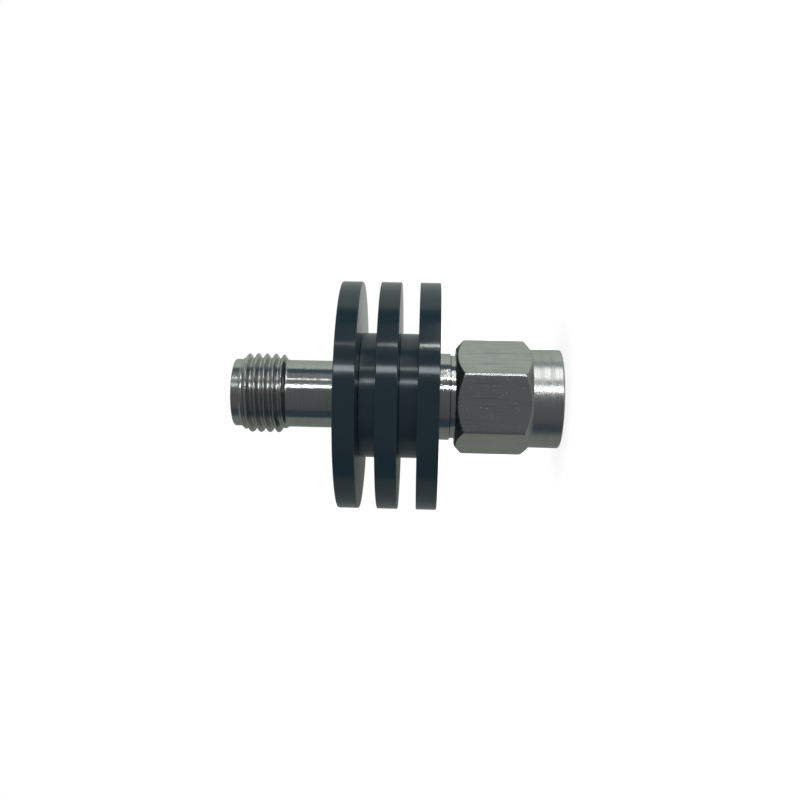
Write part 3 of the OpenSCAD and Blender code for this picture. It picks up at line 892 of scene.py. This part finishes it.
class AttenuatorStage(bpy.types.Operator):
    """Stage: camera, strip lamps, studio surround and floor."""

    bl_idname = "attenuator.stage"
    bl_label = "Stage"

    def execute(self, context):
        context.scene.view_settings.view_transform = "Standard"
        self.camera(context)
        self.lamps(context)
        self.surround(context)
        self.floor(context)
        return {"FINISHED"}

    def camera(self, context):
        """Camera on the picture's line of sight: the axis lies across the picture, the jack to the left."""
        yaw, pitch, roll = -0.0247, 0.0044, -0.0225
        place = (0, -78.693 * MM, 10.659 * MM)
        turn = Matrix.Rotation(roll, 3, "Z") @ Matrix.Rotation(pitch, 3, "X") @ Matrix.Rotation(yaw, 3, "Y")
        sides = [(row[1], -row[2], -row[0]) for row in turn]
        data = bpy.data.cameras.new("camera")
        data.sensor_width, data.lens = 36, 44.32
        data.clip_start, data.clip_end = 0.005, 10
        camera = bpy.data.objects.new("camera", data)
        camera.matrix_world = Matrix.LocRotScale(place, Matrix(sides).transposed(), None)
        context.scene.collection.objects.link(camera)
        context.scene.camera = camera

    def lamps(self, context):
        """Strip lamps along the axis, which make the streaks on the turned pieces, and a soft lamp overhead.

        A row gives the name, the angle from the camera upwards in degrees, the distance from the axis, the
        width, the low and high end, the radiance and the tint. A lamp's power is radiance * pi * its area.
        """
        strips = [
            ("main strip", 24.8, 0.25, 0.024, -0.008, 0.062, 7.5, "#f0fbff"),
            ("main strip, plug end", 22, 0.25, 0.026, -0.17, -0.008, 8.0, "#ffffff"),
            ("main strip, jack end", 24.8, 0.25, 0.024, 0.062, 0.19, 1.2, "#ffffff"),
            ("main strip's halo", 26, 0.26, 0.07, 0.039, 0.062, 0.8, "#ffffff"),
            ("plug strip", 60.5, 0.25, 0.144, -0.06, 0.002, 2.0, "#ffffff"),
            ("plug strip's upper edge", 84, 0.25, 0.065, -0.06, -0.012, 0.3, "#ffffff"),
            ("tube, plug end", 49.5, 0.25, 0.009, 0.002, 0.0145, 26.0, "#f4fffa"),
            ("tube, middle", 49.5, 0.25, 0.009, 0.0145, 0.0285, 6.0, "#f4fffa"),
            ("tube, left fin", 49.5, 0.25, 0.011, 0.0285, 0.041, 1.4, "#ffffff"),
            ("tube, jack end", 50, 0.25, 0.011, 0.041, 0.2, 3.2, "#ffffff"),
            ("rear fill", 200, 0.3, 0.3, 0.0, 0.3, 0.8, "#ffffff"),
        ]
        for name, degrees, distance, width, low, high, radiance, tint in strips:
            turn = math.radians(degrees)
            data = bpy.data.lights.new(name, "AREA")
            data.shape, data.color = "RECTANGLE", linear(tint)
            data.size, data.size_y = width, high - low
            data.energy = radiance * math.pi * width * (high - low)
            away = (math.sin(turn), -math.cos(turn), 0)
            across = (math.cos(turn), math.sin(turn), 0)
            place = (distance * away[0], distance * away[1], (low + high) / 2)
            lamp = bpy.data.objects.new(name, data)
            lamp.matrix_world = Matrix.LocRotScale(
                place, Matrix([across, (0, 0, 1), away]).transposed(), None
            )
            lamp.visible_camera = False
            lamp.visible_glossy = name != "rear fill"
            context.scene.collection.objects.link(lamp)
        diameter, radiance = 0.2, 2.5
        data = bpy.data.lights.new("overhead", "AREA")
        data.shape, data.size = "DISK", diameter
        data.energy = radiance * math.pi * math.pi * (diameter / 2) ** 2
        lamp = bpy.data.objects.new("overhead", data)
        lamp.location = (0, 0, 0.32)
        lamp.visible_camera = lamp.visible_glossy = False
        context.scene.collection.objects.link(lamp)

    def surround(self, context):
        """Studio surround: white to the camera, even for soft light, and shaded by direction in reflections.

        The shades go by the direction's angle round the axis, in degrees from the camera upwards.
        """
        shades = [
            (-180, "#d5dad6"),
            (-178, "#8d928f"),
            (-176, "#7a807a"),
            (-168, "#7a807a"),
            (-164, "#868b87"),
            (-94, "#868b87"),
            (-87, "#40505d"),
            (-63, "#3c4b58"),
            (-57, "#5d5e62"),
            (0, "#696a6f"),
            (38, "#75767a"),
            (44, "#8f9496"),
            (70, "#8f9496"),
            (77, "#4d5f6d"),
            (91, "#4d5f6d"),
            (98, "#d2dad3"),
            (140, "#b8c0b9"),
            (164, "#a5aba6"),
            (172, "#cfd4d0"),
            (180, "#d5dad6"),
        ]
        stops = [((degrees + 180) / 360, linear(shade)) for degrees, shade in shades]
        foot, white = (*linear("#8d928f"), 1), (1, 1, 1, 1)
        world = bpy.data.worlds.new("studio")
        world.use_nodes = True
        tree = world.node_tree
        tree.nodes.clear()
        way = add_node(tree, "TexCoord").outputs["Generated"]
        parts = add_node(tree, "SeparateXYZ", {0: way}).outputs
        front = add_node(tree, "Math", {0: parts["Y"], 1: -1}, operation="MULTIPLY")
        turn = add_node(tree, "Math", {0: parts["X"], 1: front}, operation="ARCTAN2")
        share = add_node(tree, "MapRange", {"Value": turn, "From Min": -math.pi, "From Max": math.pi})
        ramp = add_node(tree, "ValToRGB", {0: share}, stops)
        below = add_node(tree, "MapRange", {"Value": parts["Z"], "From Min": -0.5, "From Max": -0.95})
        shade = add_node(tree, "Mix", {"Factor": below, "A": ramp, "B": foot}, data_type="RGBA")
        mirrored = add_node(tree, "Background", {"Color": shade})
        soft = add_node(tree, "Background", {"Color": white, "Strength": 0.55})
        open_air = add_node(tree, "Background", {"Color": white})
        path = add_node(tree, "LightPath").outputs
        straight = add_node(
            tree, "Math", {0: path["Is Camera Ray"], 1: path["Is Transmission Ray"]}, operation="MAXIMUM"
        )
        light = add_node(tree, "MixShader", {0: path["Is Glossy Ray"], 1: soft, 2: mirrored})
        shown = add_node(tree, "MixShader", {0: straight, 1: light, 2: open_air})
        add_node(tree, "OutputWorld", {"Surface": shown})
        context.scene.world = world

    def floor(self, context):
        """Floor: a flat square just under the nut, lifted to white for the camera, shaded by the part."""
        side = np.linspace(-0.6, 0.6, 9)
        x, y = np.meshgrid(side, side)
        points = np.stack([x, y, np.full_like(x, -FIT_GAP)], -1).reshape(-1, 3)
        mesh = bpy.data.meshes.new("floor")
        mesh.from_pydata(points.tolist(), [], grid_faces(9, 9, False, False).tolist())
        material, tree = new_material("Painted board, matt")
        place = add_node(tree, "TexCoord").outputs["Object"]
        grain = add_node(tree, "TexNoise", {"Vector": place, "Scale": 1 / (4 * MM), "Detail": 2})
        gloss = add_node(tree, "MapRange", {"Value": grain, "To Min": 0.8, "To Max": 0.95})
        reach = add_node(tree, "VectorMath", {0: place}, operation="LENGTH")
        rise = add_node(
            tree, "MapRange", {"Value": reach, "From Min": 15 * MM, "From Max": 60 * MM, "To Min": 0.65}
        )
        seen = add_node(tree, "LightPath").outputs["Is Camera Ray"]
        finish_material(
            material,
            {
                "Base Color": (*context.scene.attenuator_colours.floor, 1),
                "Roughness": gloss,
                "Specular IOR Level": 0,
                "Emission Color": (1, 1, 1, 1),
                "Emission Strength": add_node(tree, "Math", {0: seen, 1: rise}, operation="MULTIPLY"),
            },
        )
        mesh.materials.append(material)
        floor = bpy.data.objects.new("floor", mesh)
        floor.visible_glossy = floor.visible_shadow = False
        context.scene.collection.objects.link(floor)


class AttenuatorPanel(bpy.types.Panel):
    """Lists the pieces, the sizes and the colours."""

    bl_idname = "VIEW3D_PT_attenuator"
    bl_label = "Coaxial attenuator"
    bl_space_type = "VIEW_3D"
    bl_region_type = "UI"
    bl_category = "Attenuator"

    def draw(self, context):
        for operator in OPERATORS:
            self.layout.operator(operator.bl_idname)
        for group in (context.scene.attenuator_sizes, context.scene.attenuator_colours):
            column = self.layout.column(align=True)
            for name in type(group).__annotations__:
                column.prop(group, name)


OPERATORS = (
    AttenuatorHeatSink,
    AttenuatorJack,
    AttenuatorPlug,
    AttenuatorNut,
    AttenuatorChip,
    AttenuatorStage,
)
CLASSES = (AttenuatorSizes, AttenuatorColours, *OPERATORS, AttenuatorPanel)


def register():
    for item in CLASSES:
        bpy.utils.register_class(item)
    bpy.types.Scene.attenuator_sizes = PointerProperty(type=AttenuatorSizes)
    bpy.types.Scene.attenuator_colours = PointerProperty(type=AttenuatorColours)


def unregister():
    del bpy.types.Scene.attenuator_colours
    del bpy.types.Scene.attenuator_sizes
    for item in reversed(CLASSES):
        bpy.utils.unregister_class(item)


def main():
    """Builds every piece and the stage."""
    register()
    bpy.ops.attenuator.stage()
    bpy.ops.attenuator.heat_sink()
    bpy.ops.attenuator.jack()
    bpy.ops.attenuator.plug()
    bpy.ops.attenuator.coupling_nut()
    bpy.ops.attenuator.chip()


if __name__ == "__main__":
    main()
